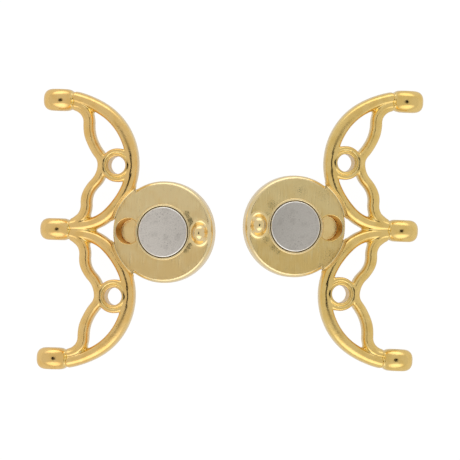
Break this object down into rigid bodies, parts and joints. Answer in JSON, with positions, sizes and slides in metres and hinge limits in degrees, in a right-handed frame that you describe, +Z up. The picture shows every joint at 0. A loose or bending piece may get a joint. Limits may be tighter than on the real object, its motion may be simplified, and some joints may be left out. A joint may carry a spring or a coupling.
{
  "type": "magnetic clasp",
  "caption": "Gold-plated magnetic jewellery clasp: round buttons with inset disc magnets, locating boss and recess, and openwork wings ending in eyelets for the strands.",
  "frame": {"origin": "middle of the clasp as it lies apart, on the surface it lies on", "axes": "+X from the left half to the right half, +Y towards the upper eyelets, +Z up, out of the mating faces"},
  "size_m": [0.0458, 0.0334, 0.0074],
  "materials": {
    "plated_metal": "gold plated, polished; mating face brushed",
    "magnet": "matt grey plated magnet"
  },
  "bodies": {
    "root": {"left_casting": "plated_metal", "left_magnet": "magnet", "right_casting": "plated_metal", "right_magnet": "magnet"}
  },
  "joints": []
}
